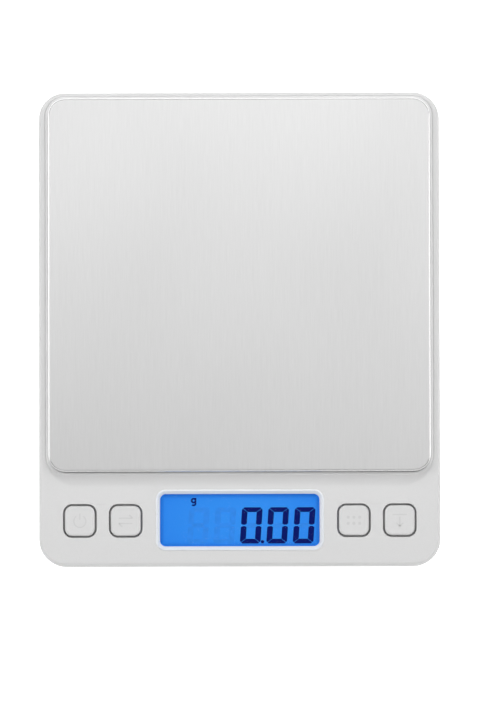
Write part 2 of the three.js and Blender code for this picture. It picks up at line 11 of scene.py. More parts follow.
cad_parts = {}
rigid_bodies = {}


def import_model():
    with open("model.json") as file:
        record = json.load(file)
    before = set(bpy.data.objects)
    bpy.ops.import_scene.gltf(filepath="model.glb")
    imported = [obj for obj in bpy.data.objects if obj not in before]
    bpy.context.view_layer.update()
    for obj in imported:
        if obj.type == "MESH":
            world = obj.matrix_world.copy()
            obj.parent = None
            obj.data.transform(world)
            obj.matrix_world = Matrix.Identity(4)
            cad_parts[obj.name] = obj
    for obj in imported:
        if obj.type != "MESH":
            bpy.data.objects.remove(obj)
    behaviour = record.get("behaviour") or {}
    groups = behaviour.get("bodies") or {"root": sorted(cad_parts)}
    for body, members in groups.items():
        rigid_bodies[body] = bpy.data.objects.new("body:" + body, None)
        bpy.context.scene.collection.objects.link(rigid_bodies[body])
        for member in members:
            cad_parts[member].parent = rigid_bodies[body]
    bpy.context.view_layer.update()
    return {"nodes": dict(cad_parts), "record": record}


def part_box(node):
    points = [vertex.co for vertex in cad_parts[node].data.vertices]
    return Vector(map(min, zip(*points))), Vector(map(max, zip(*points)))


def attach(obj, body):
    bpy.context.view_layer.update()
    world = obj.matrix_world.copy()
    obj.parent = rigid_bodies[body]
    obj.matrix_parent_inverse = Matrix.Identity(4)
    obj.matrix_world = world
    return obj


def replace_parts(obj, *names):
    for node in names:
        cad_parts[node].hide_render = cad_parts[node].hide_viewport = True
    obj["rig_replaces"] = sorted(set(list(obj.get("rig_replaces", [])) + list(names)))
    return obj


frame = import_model()

# ---- Driving dimensions, in metres ----

MM = 0.001

CORNER_STEPS = 14  # flats in each rounded corner
SHARP_EDGE = math.radians(40)  # a sharper bend than this shows as an edge

CASE_CORNER = 7 * MM
CASE_EDGE = 0.55 * MM
SHOULDER_LEAN = 0.3 * MM  # the cover's side leans in by this much over its top part
SHOULDER_DROP = 3.0 * MM  # height of the part that leans
WALL = 1.8 * MM
LIP_GROOVE = 1.0 * MM  # from the case's outside to the groove for the lower half's lip
LIP_GROOVE_RISE = 1.45 * MM  # above the cover's lower rim
RIM_EDGE = 0.15 * MM

PLATFORM_CORNER = 4.5 * MM
PLATFORM_EDGE = 0.55 * MM
PLATFORM_INNER_EDGE = 0.1 * MM
PLATFORM_SHEET = 0.6 * MM
PLATFORM_GAP = 0.09 * MM

COLLAR_RISE = 0.8 * MM  # above the control panel
COLLAR_WIDTH = 0.62 * MM
COLLAR_FRONT = 0.3 * MM  # the collar is wider by this much along the front
BLEND_REACH = 2.9 * MM
BLEND_RISE = 0.7 * MM
BLEND_STEPS = 10
CREASE_WIDTH = 0.26 * MM  # of the fine groove where the collar meets the sides of the case
CREASE_DEPTH = 0.16 * MM
DECK_BELOW_PANEL = 0.8 * MM
CEILING_BELOW_PANEL = 2.0 * MM
BOSS_HOLE = 15 * MM
BOSS_X = 17.25 * MM

CASE_POST_RADIUS = 3.2 * MM
CASE_PILOT_RADIUS = 1.55 * MM
BOARD_POST_RADIUS = 1.8 * MM
BOARD_PILOT_RADIUS = 1.1 * MM
PILOT_BELOW_CEILING = 0.7 * MM
POST_BELOW_LIP = 0.9 * MM  # the case's screw posts end this far below the top of the lower half

BUTTONS = ("power", "mode", "count", "tare")
BUTTON_OPENING = 8.85 * MM
BUTTON_OPENING_CORNER = 2.4 * MM
BUTTON_GAP = 0.48 * MM
BUTTON_EDGE = 0.45 * MM
BUTTON_FLANGE_RISE = 0.8 * MM
DISH_DEPTH = 0.06 * MM  # of the shallow hollow in a cap
DISH_SLOPE = 1.2 * MM  # width of the band in which the hollow deepens
HOLE_EDGE = 0.12 * MM

DISPLAY_WIDTH = 42.1 * MM
DISPLAY_DEPTH = 13.8 * MM
DISPLAY_CORNER = 1.5 * MM
BEZEL_WIDTH = 1.15 * MM
BEZEL_SLEEVE = 0.5 * MM
SLEEVE_GAP = 0.3 * MM
BEZEL_SLOPE = 0.7 * MM
BEZEL_RISE = 0.4 * MM

DIGIT_COUNT = 5
DIGIT_PITCH = 6.98 * MM
DIGIT_WIDTH = 5.45 * MM
DIGIT_HEIGHT = 9.55 * MM
DIGIT_SLANT = math.tan(math.radians(3.8))
UPRIGHT_WIDTH = 1.52 * MM  # of the segments that stand
LEVEL_WIDTH = 1.24 * MM  # of the segments that lie
MITRE_GAP = 0.06 * MM  # between two segments that meet at a corner
MIDDLE_GAP = 0.36 * MM  # between the upper and lower standing segments
DIGIT_CORNER = 0.62 * MM  # the digit's corners are cut off by this much
SEGMENT_TIP = 0.3 * MM  # how far the blunt end of a standing segment reaches
SEGMENT_TIP_SHARE = 0.3  # of its width that slopes at each side of the blunt end
DECIMAL_POINT_RADIUS = 0.46 * MM
DECIMAL_POINT_REACH = 0.55 * MM  # from the digit's side to the point's centre
INK_THICKNESS = 0.02 * MM
INK_LIFT = 0.02 * MM


# ---- Outlines and lofted meshes ----


def outline(width, depth, corner, centre=(0.0, 0.0), front_corner=None, steps=CORNER_STEPS):
    """Points round a rounded rectangle, anticlockwise from the back end of its right-hand side."""
    front = corner if front_corner is None else front_corner
    corners = ((1, 1, corner, 0), (-1, 1, corner, 90), (-1, -1, front, 180), (1, -1, front, 270))
    points = []
    for side, end, radius, start in corners:
        x = centre[0] + side * (width / 2 - radius)
        y = centre[1] + end * (depth / 2 - radius)
        for step in range(steps + 1):
            angle = math.radians(start + 90 * step / steps)
            points.append((x + radius * math.cos(angle), y + radius * math.sin(angle)))
    return points


def circle(radius, centre, sides=32):
    turns = [2 * math.pi * side / sides for side in range(sides)]
    return [(centre[0] + radius * math.cos(a), centre[1] + radius * math.sin(a)) for a in turns]


def between(first, second, share):
    """The outline that lies that share of the way from the first to the second."""
    return [tuple(p + (q - p) * share for p, q in zip(a, b)) for a, b in zip(first, second)]


class Shell:
    """A mesh made of rings of points, the walls between them and flat faces inside them."""

    def __init__(self):
        self.mesh = bmesh.new()

    def ring(self, points, z):
        """A ring at one height, or at a height for each point."""
        heights = z if isinstance(z, list) else [z] * len(points)
        return [self.mesh.verts.new((x, y, height)) for (x, y), height in zip(points, heights)]

    def wall(self, *rings):
        for lower, upper in zip(rings, rings[1:]):
            for here in range(len(lower)):
                after = (here + 1) % len(lower)
                self.mesh.faces.new((lower[here], lower[after], upper[after], upper[here]))
        return rings[-1]

    def tower(self, *levels):
        """Rings at (points, z) levels with walls between them. Returns the first and the last ring."""
        rings = [self.ring(points, z) for points, z in levels]
        self.wall(*rings)
        return rings[0], rings[-1]

    def flat(self, outer, *holes):
        loops = [outer, *holes]
        corners = [vert for loop in loops for vert in loop]
        for triangle in tessellate_polygon([[vert.co for vert in loop] for loop in loops]):
            self.mesh.faces.new([corners[index] for index in triangle])

    def finish(self, name):
        """The mesh as an object, its normals pointing out and its sharp bends marked."""
        bmesh.ops.remove_doubles(self.mesh, verts=self.mesh.verts, dist=1e-7)
        bmesh.ops.recalc_face_normals(self.mesh, faces=self.mesh.faces)
        for face in self.mesh.faces:
            face.smooth = True
        for edge in self.mesh.edges:
            edge.smooth = edge.calc_face_angle(0) < SHARP_EDGE
        data = bpy.data.meshes.new(name)
        self.mesh.to_mesh(data)
        self.mesh.free()
        piece = bpy.data.objects.new(name, data)
        bpy.context.scene.collection.objects.link(piece)
        flatten_shading(piece)
        return piece


def flatten_shading(piece):
    """Keeps wide flat faces flat where rounded edges meet them."""
    modifier = piece.modifiers.new("flat faces", "WEIGHTED_NORMAL")
    modifier.keep_sharp = True


def quarter_turn(steps):
    """(share across, share up) of points round a quarter circle, from its foot to its top."""
    angles = [math.radians(90 * step / steps) for step in range(steps + 1)]
    return [(1 - math.cos(angle), math.sin(angle)) for angle in angles]


# ---- Places, from the CAD model ----

cover_low, cover_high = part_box("top_cover")
platform_low, platform_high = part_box("weighing_platform")
panel_z = cover_high.z - COLLAR_RISE
ceiling_z = panel_z - CEILING_BELOW_PANEL
deck_z = panel_z - DECK_BELOW_PANEL
platform_y = (platform_low.y + platform_high.y) / 2


def middle(node):
    low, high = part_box(node)
    return (low + high) / 2


display_centre = middle("display_window").xy
button_centres = {name: middle(f"{name}_button").xy for name in BUTTONS}


def case_outline(offset):
    width = cover_high.x - cover_low.x - 2 * offset
    depth = cover_high.y - cover_low.y - 2 * offset
    return outline(width, depth, CASE_CORNER - offset)


def platform_outline(offset, front_reach=0.0):
    """The platform's outline moved outwards by an offset, and its front by a further reach."""
    width = platform_high.x - platform_low.x + 2 * offset
    depth = platform_high.y - platform_low.y + 2 * offset + front_reach
    corner = PLATFORM_CORNER + offset
    return outline(width, depth, corner, (0, platform_y - front_reach / 2), corner + front_reach)


def button_outline(name, offset):
    size = BUTTON_OPENING + 2 * offset
    return outline(size, size, BUTTON_OPENING_CORNER + offset, button_centres[name])


def display_outline(offset):
    width = DISPLAY_WIDTH + 2 * offset
    depth = DISPLAY_DEPTH + 2 * offset
    return outline(width, depth, DISPLAY_CORNER + offset, display_centre)


# ---- Case ----


def collar_levels():
    """The panel's rise to the collar, then the collar's rounded top and the wall down to the deck."""
    opening = PLATFORM_GAP
    outer = opening + COLLAR_WIDTH
    foot_reach = COLLAR_FRONT + BLEND_REACH
    foot = platform_outline(outer, foot_reach)
    collar = platform_outline(outer, COLLAR_FRONT)
    gaps = [math.dist(p, q) for p, q in zip(foot, collar)]
    crease = [panel_z - CREASE_DEPTH * max(0.0, 1 - space / BLEND_REACH) for space in gaps]
    levels = [
        (platform_outline(outer + CREASE_WIDTH, foot_reach), panel_z),
        (platform_outline(outer + CREASE_WIDTH / 2, foot_reach), crease),
    ]
    for step in range(BLEND_STEPS + 1):
        share = step / BLEND_STEPS
        levels.append((between(foot, collar, share), panel_z + BLEND_RISE * share**2))
    top_z = cover_high.z
    edge = top_z - panel_z - BLEND_RISE
    for across, up in quarter_turn(4)[1:]:
        levels.append((platform_outline(outer - edge * across, COLLAR_FRONT), top_z - edge + edge * up))
    for across, up in reversed(quarter_turn(4)):
        levels.append((platform_outline(opening + edge * across), top_z - edge + edge * up))
    levels.append((platform_outline(opening), deck_z))
    return levels


def hole_levels(points_at):
    """A hole through the control panel with a softened upper edge.
    points_at gives its outline at an offset."""
    rounded = [(points_at(HOLE_EDGE * across), panel_z - HOLE_EDGE + HOLE_EDGE * up)
               for across, up in quarter_turn(3)]
    return [*reversed(rounded), (points_at(0), ceiling_z)]


def post(shell, centre, foot_z, radius, pilot_radius):
    """A screw post that hangs from the ceiling, with its blind hole. Returns its ring in the ceiling."""
    top = shell.ring(circle(radius, centre), ceiling_z)
    outer_foot = shell.ring(circle(radius, centre), foot_z)
    inner_foot = shell.ring(circle(pilot_radius, centre), foot_z)
    hole_top = shell.ring(circle(pilot_radius, centre), ceiling_z - PILOT_BELOW_CEILING)
    shell.wall(top, outer_foot, inner_foot, hole_top)
    shell.mesh.faces.new(hole_top)
    return top


def top_cover():
    shell = Shell()
    rim_z = cover_low.z
    side = [(case_outline(RIM_EDGE), rim_z), (case_outline(0), rim_z + RIM_EDGE),
            (case_outline(0), panel_z - SHOULDER_DROP)]
    for across, up in quarter_turn(6):
        lean = SHOULDER_LEAN + CASE_EDGE * across
        side.append((case_outline(lean), panel_z - CASE_EDGE + CASE_EDGE * up))
    rim, panel_edge = shell.tower(*side)
    blend_foot, deck_edge = shell.tower(*collar_levels())
    display_top, display_bottom = shell.tower(
        *hole_levels(lambda offset: display_outline(BEZEL_SLEEVE + SLEEVE_GAP + offset)))
    buttons = [shell.tower(*hole_levels(lambda offset, name=name: button_outline(name, offset)))
               for name in BUTTONS]
    shell.flat(panel_edge, blend_foot, display_top, *(top for top, _ in buttons))
    boss_outline = outline(BOSS_HOLE, BOSS_HOLE, HOLE_EDGE, (BOSS_X, platform_y))
    boss_top, boss_bottom = shell.tower((boss_outline, deck_z), (boss_outline, ceiling_z))
    shell.flat(deck_edge, boss_top)
    groove = case_outline(LIP_GROOVE)
    inside = case_outline(WALL)
    groove_z = rim_z + LIP_GROOVE_RISE
    groove_foot, ceiling_edge = shell.tower(
        (groove, rim_z), (groove, groove_z), (inside, groove_z), (inside, ceiling_z))
    shell.wall(rim, groove_foot)
    case_foot_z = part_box("bottom_case")[1].z - POST_BELOW_LIP
    board_foot_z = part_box("main_board")[1].z
    posts = [post(shell, middle(f"case_screw_{n}").xy, case_foot_z, CASE_POST_RADIUS, CASE_PILOT_RADIUS)
             for n in range(1, 5)]
    posts += [post(shell, middle(f"board_screw_{n}").xy, board_foot_z, BOARD_POST_RADIUS, BOARD_PILOT_RADIUS)
              for n in range(1, 5)]
    shell.flat(ceiling_edge, display_bottom, boss_bottom, *(bottom for _, bottom in buttons), *posts)
    piece = shell.finish("cover_shell")
    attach(piece, "case")
    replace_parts(piece, "top_cover")
    piece.data.materials.append(case_plastic())


# ---- Platform ----


def weighing_platform():
    """A pan of sheet steel: its top, the rolled edge and the skirt, with the sheet's thickness."""
    shell = Shell()
    top_z = platform_high.z
    outside = [(platform_outline(0), platform_low.z)]
    for across, up in quarter_turn(8):
        z = top_z - PLATFORM_EDGE + PLATFORM_EDGE * up
        outside.append((platform_outline(-PLATFORM_EDGE * across), z))
    inside_z = top_z - PLATFORM_SHEET
    inside = [(platform_outline(-PLATFORM_SHEET), platform_low.z)]
    for across, up in quarter_turn(4):
        offset = -PLATFORM_SHEET - PLATFORM_INNER_EDGE * across
        inside.append((platform_outline(offset), inside_z - PLATFORM_INNER_EDGE * (1 - up)))
    outer_foot, outer_top = shell.tower(*outside)
    inner_foot, inner_top = shell.tower(*inside)
    shell.wall(outer_foot, inner_foot)
    shell.flat(outer_top)
    shell.flat(inner_top)
    piece = shell.finish("platform_pan")
    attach(piece, "platform")
    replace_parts(piece, "weighing_platform")
    piece.data.materials.append(brushed_steel())


# ---- Readout ----


def display_bezel():
    shell = Shell()
    bezel_z = panel_z + BEZEL_RISE
    edge = 0.12 * MM
    roll = 0.36 * MM
    slope_z = bezel_z - BEZEL_SLOPE
    outer_edge = [(display_outline(BEZEL_WIDTH - roll * across), bezel_z - roll + roll * up)
                  for across, up in quarter_turn(6)]
    levels = [
        (display_outline(0), ceiling_z),
        (display_outline(BEZEL_SLEEVE), ceiling_z),
        (display_outline(BEZEL_SLEEVE), panel_z),
        (display_outline(BEZEL_WIDTH), panel_z),
        *outer_edge,
        (display_outline(edge), slope_z + edge * 0.6),
        (display_outline(0), slope_z - edge),
        (display_outline(0), ceiling_z),
    ]
    shell.tower(*levels)
    piece = shell.finish("bezel_frame")
    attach(piece, "case")
    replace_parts(piece, "display_bezel")
    piece.data.materials.append(white_plastic())


def plate(shell, points, low_z, thickness):
    """A thin flat plate with that outline."""
    low, high = shell.tower((points, low_z), (points, low_z + thickness))
    shell.flat(low)
    shell.flat(high)


def stroke(shell, path, width, low_z, thickness, closed=False):
    """A thin plate that follows a path with a constant width."""
    count = len(path)
    sides = ([], [])
    for here in range(count):
        before = path[here - 1] if closed or here > 0 else path[here]
        after = path[(here + 1) % count] if closed or here < count - 1 else path[here]
        along = (Vector(after) - Vector(before)).normalized()
        across = Vector((-along.y, along.x)) * width / 2
        sides[0].append(tuple(Vector(path[here]) + across))
        sides[1].append(tuple(Vector(path[here]) - across))
    if not closed:
        plate(shell, sides[0] + sides[1][::-1], low_z, thickness)
        return
    rings = [shell.ring(points, z) for points, z in (
        (sides[0], low_z), (sides[1], low_z), (sides[1], low_z + thickness), (sides[0], low_z + thickness))]
    shell.wall(*rings, rings[0])


def arc(centre, radius, start, end, steps=24):
    """Points on a circle from one angle to another, in degrees."""
    angles = [math.radians(start + (end - start) * step / steps) for step in range(steps + 1)]
    return [(centre[0] + radius * math.cos(a), centre[1] + radius * math.sin(a)) for a in angles]


def segment_outlines():
    """The seven segments of an upright digit whose lower left corner is at the origin,
    clockwise from the top and the middle one last."""
    right, top, half = DIGIT_WIDTH, DIGIT_HEIGHT, DIGIT_HEIGHT / 2
    wide, thick, corner, gap = UPRIGHT_WIDTH, LEVEL_WIDTH, DIGIT_CORNER, MITRE_GAP
    near, far = (corner - gap) / 2, (corner + gap) / 2  # each mitre starts at the cut corner's middle

    def level(y, inner):
        """A bar along the top or bottom edge, mitred at both ends."""
        shoulder = y - math.copysign(near, y - inner)
        return [(corner, y), (right - corner, y), (right - far, shoulder), (right - wide - gap, inner),
                (wide + gap, inner), (far, shoulder)]

    def upright(x, inner, end, sign):
        """A bar from a corner of the digit towards its middle, with a blunt point there."""
        tip = half + sign * MIDDLE_GAP / 2
        tip_side = tip + sign * SEGMENT_TIP
        across = inner - x
        slope = across * SEGMENT_TIP_SHARE
        return [(x, end - sign * corner), (x, tip_side), (x + slope, tip), (inner - slope, tip),
                (inner, tip_side), (inner, end - sign * (thick + gap)),
                (x + math.copysign(near, across), end - sign * far)]

    point_x = (wide + MIDDLE_GAP) / 2
    side_x = wide + MIDDLE_GAP / 2
    lower, upper = half - thick / 2, half + thick / 2
    middle_bar = [(point_x, half), (side_x, upper), (right - side_x, upper),
                  (right - point_x, half), (right - side_x, lower), (side_x, lower)]
    inner_right, inner_top = right - wide, top - thick
    return [level(top, inner_top), upright(right, inner_right, top, 1), upright(right, inner_right, 0, -1),
            level(0, thick), upright(0, wide, 0, -1), upright(0, wide, top, 1), middle_bar]


LIT_SEGMENTS = {"0": (0, 1, 2, 3, 4, 5), " ": ()}
READOUT = "  000"
POINT_AFTER = 2  # the decimal point follows this digit


def digit_place(index):
    """Lower left corner of a digit. The row of digits ends near the right end of the display."""
    right_margin = 1.03 * MM
    bottom_margin = 0.74 * MM
    slant_room = DIGIT_SLANT * DIGIT_HEIGHT
    last_x = display_centre.x + DISPLAY_WIDTH / 2 - right_margin - DIGIT_WIDTH - slant_room
    return Vector((last_x - (DIGIT_COUNT - 1 - index) * DIGIT_PITCH,
                   display_centre.y - DISPLAY_DEPTH / 2 + bottom_margin))


def slanted(points, corner):
    return [(corner.x + x + y * DIGIT_SLANT, corner.y + y) for x, y in points]


def readout_ink():
    """The readout's lit marks, and the faint marks of the segments that are off."""
    glass_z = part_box("lcd_glass")[1].z + INK_LIFT
    lit, unlit = Shell(), Shell()
    for index, character in enumerate(READOUT):
        for number, points in enumerate(segment_outlines()):
            shell = lit if number in LIT_SEGMENTS[character] else unlit
            plate(shell, slanted(points, digit_place(index)), glass_z, INK_THICKNESS)
    point_corner = digit_place(POINT_AFTER)
    point_x = point_corner.x + DIGIT_WIDTH + DECIMAL_POINT_REACH
    point_centre = (point_x, point_corner.y + DECIMAL_POINT_RADIUS)
    plate(lit, circle(DECIMAL_POINT_RADIUS, point_centre, 16), glass_z, INK_THICKNESS)
    unit_mark(lit, glass_z)
    marks = (("readout_digits", lit, lcd_ink()), ("readout_faint_digits", unlit, lcd_faint()))
    for name, shell, material in marks:
        piece = shell.finish(name)
        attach(piece, "case")
        piece.data.materials.append(material)


def unit_mark(shell, low_z):
    """The small letter for grams: a bowl, a stem and a hook."""
    radius = 0.5 * MM
    width = 0.44 * MM
    left_of_middle = 12.2 * MM
    below_edge = 1.7 * MM
    hook_drop = 0.75 * MM
    centre = display_centre + Vector((-left_of_middle, DISPLAY_DEPTH / 2 - below_edge))
    stem_x = centre.x + radius
    stroke(shell, arc(centre, radius, 0, 360 - 15), width, low_z, INK_THICKNESS, closed=True)
    hook_centre = (centre.x, centre.y - hook_drop)
    hook = [(stem_x, centre.y + radius + width / 2), *arc(hook_centre, radius, 0, -140)]
    stroke(shell, hook, width, low_z + 1e-6, INK_THICKNESS)


# ---- Buttons ----


def button_cap(name):
    low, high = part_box(f"{name}_button")
    centre = button_centres[name]
    flange = outline(high.x - low.x, high.y - low.y, BUTTON_OPENING_CORNER - BUTTON_GAP, centre)
    flange_z = low.z + BUTTON_FLANGE_RISE
    shell = Shell()
    levels = [(flange, low.z), (flange, flange_z), (button_outline(name, -BUTTON_GAP), flange_z)]
    for across, up in quarter_turn(6):
        offset = -BUTTON_GAP - BUTTON_EDGE * across
        levels.append((button_outline(name, offset), high.z - BUTTON_EDGE + BUTTON_EDGE * up))
    for share in (0.25, 0.5, 0.75):
        offset = -BUTTON_GAP - BUTTON_EDGE - share * DISH_SLOPE
        levels.append((button_outline(name, offset), high.z - DISH_DEPTH * share**2))
    foot, top = shell.tower(*levels)
    shell.flat(foot)
    shell.flat(top)
    piece = shell.finish(f"{name}_cap")
    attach(piece, f"{name}_button")
    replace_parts(piece, f"{name}_button")
    piece.data.materials.append(button_plastic())
    button_sign(name, high.z - DISH_DEPTH)


def button_sign(name, low_z):
    """A faint printed sign on the cap: a power mark, two swap arrows, six counted dots,
    or a pan over an arrow."""
    shell = Shell()
    width = 0.34 * MM
    thickness = 0.03 * MM
    x, y = button_centres[name]

    def line(*points):
        stroke(shell, [(x + px * MM, y + py * MM) for px, py in points], width, low_z, thickness)

    if name == "power":
        stroke(shell, arc((x, y - 0.1 * MM), 1.6 * MM, 125, 415), width, low_z, thickness)
        line((0, 0.3), (0, 2.0))
    elif name == "mode":
        for side in (1, -1):
            line((-1.8 * side, 0.7 * side), (1.8 * side, 0.7 * side))
            line((0.9 * side, 1.6 * side), (1.8 * side, 0.7 * side))
    elif name == "count":
        for column in (-1.5, 0, 1.5):
            for row in (-0.8, 0.8):
                plate(shell, circle(0.42 * MM, (x + column * MM, y + row * MM), 20), low_z, thickness)
    else:
        line((-1.9, 1.5), (1.9, 1.5))
        line((0, 0.9), (0, -1.6))
        line((-0.9, -0.7), (0, -1.6))
        line((0.9, -0.7), (0, -1.6))
    piece = shell.finish(f"{name}_sign")
    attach(piece, f"{name}_button")
    piece.data.materials.append(sign_ink())


# ---- Materials ----


made = {}


def new_material(name):
    """A material by that name and the nodes to fill in, or no nodes if it is already made."""
    if name in made:
        return made[name], None
    material = bpy.data.materials.new(name)
    material.use_nodes = True
    made[name] = material
    return material, Nodes(material.node_tree)


class Nodes:
    """Short calls for building a material's nodes."""

    def __init__(self, tree):
        self.tree = tree
        self.shader = tree.nodes["Principled BSDF"]

    def add(self, kind, **settings):
        node = self.tree.nodes.new(kind)
        for key, value in settings.items():
            setattr(node, key, value)
        return node

    def link(self, source, target):
        self.tree.links.new(source, target)

    def set(self, **values):
        """Constant values on the shader's own sockets."""
        for key, value in values.items():
            self.shader.inputs[key.replace("_", " ")].default_value = value

    def position(self, stretch=(1, 1, 1)):
        """Object coordinates in metres, stretched along each axis."""
        source = self.add("ShaderNodeTexCoord").outputs["Object"]
        mapping = self.add("ShaderNodeMapping")
        mapping.inputs["Scale"].default_value = stretch
        self.link(source, mapping.inputs["Vector"])
        return mapping.outputs["Vector"]

    def noise(self, size, stretch=(1, 1, 1), detail=2.0):
        """Noise from 0 to 1 whose features are about that size, in metres."""
        node = self.add("ShaderNodeTexNoise")
        node.inputs["Scale"].default_value = 1 / size
        node.inputs["Detail"].default_value = detail
        self.link(self.position(stretch), node.inputs["Vector"])
        return node.outputs["Fac"]

    def ramp(self, source, *stops):
        """A colour ramp with (place, colour) stops."""
        node = self.add("ShaderNodeValToRGB")
        elements = node.color_ramp.elements
        while len(elements) < len(stops):
            elements.new(0.5)
        for element, (place, colour) in zip(elements, stops):
            element.position = place
            element.color = (*colour, 1)
        self.link(source, node.inputs["Fac"])
        return node.outputs["Color"]

    def spread(self, source, low, high):
        """A number from 0 to 1 moved into another range."""
        node = self.add("ShaderNodeMapRange")
        node.inputs["To Min"].default_value = low
        node.inputs["To Max"].default_value = high
        self.link(source, node.inputs["Value"])
        return node.outputs["Result"]

    def feed(self, source, target):
        """Puts a constant or another node's output into a socket."""
        if isinstance(source, bpy.types.NodeSocket):
            self.link(source, target)
        else:
            target.default_value = source

    def blend(self, first, second, share):
        """A mix of two numbers, with that share of the second."""
        node = self.add("ShaderNodeMix", data_type="FLOAT")
        for source, target in zip((share, first, second), (node.inputs["Factor"], *node.inputs[2:4])):
            self.feed(source, target)
        return node.outputs[0]

    def math(self, operation, first, second=0.0):
        node = self.add("ShaderNodeMath", operation=operation)
        self.feed(first, node.inputs[0])
        self.feed(second, node.inputs[1])
        return node.outputs[0]

    def distance(self, first, second):
        return self.math("ABSOLUTE", self.math("SUBTRACT", first, second))

    def axis(self, name):
        """One object coordinate in metres."""
        node = self.add("ShaderNodeSeparateXYZ")
        self.link(self.position(), node.inputs[0])
        return node.outputs[name]

    def share_above(self, z, softness):
        """Rises from 0 to 1 just below a height."""
        above_start = self.math("SUBTRACT", self.axis("Z"), z - softness)
        return self.spread(self.math("DIVIDE", above_start, softness), 0, 1)

    def colour(self, source):
        self.link(source, self.shader.inputs["Base Color"])

    def roughness(self, source):
        self.link(source, self.shader.inputs["Roughness"])

    def bump(self, source, height, strength=1.0):
        node = self.add("ShaderNodeBump")
        node.inputs["Distance"].default_value = height
        node.inputs["Strength"].default_value = strength
        self.link(source, node.inputs["Height"])
        self.link(node.outputs["Normal"], self.shader.inputs["Normal"])


def grey(level):
    return (level, level, level)


def shade(colour, factor):
    return tuple(min(1.0, channel * factor) for channel in colour)


def grained(name, colour, grain, contrast, rough, bump_height, metallic=0.0):
    """A surface with a fine grain: its colour varies by a contrast and its roughness lies in a range."""
    material, nodes = new_material(name)
    if nodes:
        pattern = nodes.noise(grain, detail=3)
        darker, lighter = shade(colour, 1 - contrast), shade(colour, 1 + contrast)
        nodes.colour(nodes.ramp(pattern, (0.3, darker), (0.7, lighter)))
        nodes.roughness(nodes.spread(nodes.noise(grain * 8), *rough))
        nodes.bump(pattern, bump_height, 0.4)
        nodes.set(Metallic=metallic)
    return material


def silver_plastic(name, painted_shade_below_z=None, painted_highlight_z=None):
    """Silver-grey paint on moulded plastic with a very fine sparkle.
    Below one height the colour is darker, a painted shade on the side walls and down the openings; above
    another height it is lighter, a painted highlight on the crest."""
    material, nodes = new_material(name)
    if nodes:
        sparkle = nodes.noise(0.12 * MM, detail=1)
        level = nodes.spread(sparkle, 0.65, 0.75)
        # Painted shade: the colour darkens below this height, on the side walls and down the openings.
        if painted_shade_below_z:
            level = nodes.blend(0.48, level, nodes.share_above(painted_shade_below_z, 0.4 * MM))
        # Painted highlight: the colour lightens on the crest above this height.
        if painted_highlight_z:
            level = nodes.blend(level, 0.75, nodes.share_above(painted_highlight_z, 0.06 * MM))
        nodes.colour(level)
        nodes.roughness(nodes.spread(nodes.noise(2 * MM), 0.36, 0.44))
        nodes.bump(sparkle, 0.004 * MM, 0.5)
        nodes.set(Metallic=0.0, Specular_IOR_Level=0.45)
    return material


def case_plastic():
    # Painted shade below the crease's floor, and a painted highlight on the collar's crest.
    return silver_plastic("case_plastic", panel_z - CREASE_DEPTH, cover_high.z - 0.02 * MM)


def button_plastic():
    return silver_plastic("button_plastic")


def brushed_steel():
    """Stainless sheet: its top is brushed from front to back, with soft cloudy bands,
    and its folded edge is smoother, with its colour raised above the steel's as a painted highlight."""
    material, nodes = new_material("brushed_steel")
    if nodes:
        hairs = nodes.noise(0.2 * MM, (1, 0.035, 1), detail=4)
        strands = nodes.noise(0.5 * MM, (1, 0.02, 1), detail=2)
        bands = nodes.noise(55 * MM, (1, 0.7, 1), detail=1)
        texture = nodes.blend(nodes.blend(hairs, strands, 0.25), bands, 0.45)
        brushed = nodes.share_above(platform_high.z - 0.02 * MM, 0.1 * MM)
        # The folded edge's colour of 0.92 is a painted highlight, brighter than the steel of the top.
        nodes.colour(nodes.blend(0.92, nodes.spread(texture, 0.45, 0.64), brushed))
        nodes.roughness(nodes.blend(0.22, nodes.spread(hairs, 0.4, 0.5), brushed))
        nodes.bump(hairs, 0.002 * MM, 0.4)
        nodes.set(Metallic=1.0)
    return material


def white_plastic():
    return grained("white_plastic", (0.86, 0.885, 0.92), 0.2 * MM, 0.01, (0.25, 0.32), 0.002 * MM)


def lcd_blue():
    """The lit readout: an even blue, a little lighter towards its middle, with painted shade darkening it
    along the bezel.
    """
    material, nodes = new_material("lcd_blue")
    if nodes:
        glow_reach_x, glow_reach_y = 26 * MM, 13 * MM
        bezel_shade_width = 1.2 * MM
        across = nodes.distance(nodes.axis("X"), display_centre.x)
        along = nodes.distance(nodes.axis("Y"), display_centre.y)
        far_across = nodes.math("POWER", nodes.math("DIVIDE", across, glow_reach_x), 2)
        far_along = nodes.math("POWER", nodes.math("DIVIDE", along, glow_reach_y), 2)
        glow = nodes.spread(nodes.math("ADD", far_across, far_along), 1, 0)
        # Painted shade: within a band along the bezel the blue darkens, as if in the bezel's shadow.
        to_sides = nodes.math("SUBTRACT", DISPLAY_WIDTH / 2, across)
        to_ends = nodes.math("SUBTRACT", DISPLAY_DEPTH / 2, along)
        out_of_bezel_shade = nodes.math("DIVIDE", nodes.math("MINIMUM", to_sides, to_ends), bezel_shade_width)
        level = nodes.math("MULTIPLY", nodes.spread(out_of_bezel_shade, 0.3, 1), nodes.spread(glow, 0.7, 1))
        blues = ((0.0, (0.005, 0.06, 0.3)), (0.7, (0.02, 0.19, 0.72)), (1.0, (0.032, 0.26, 0.8)))
        nodes.link(nodes.ramp(level, *blues), nodes.shader.inputs["Emission Color"])
        nodes.set(Base_Color=(0.006, 0.09, 0.32, 1), Roughness=0.35)
        nodes.set(Emission_Strength=0.86, Specular_IOR_Level=0.1)
    return material


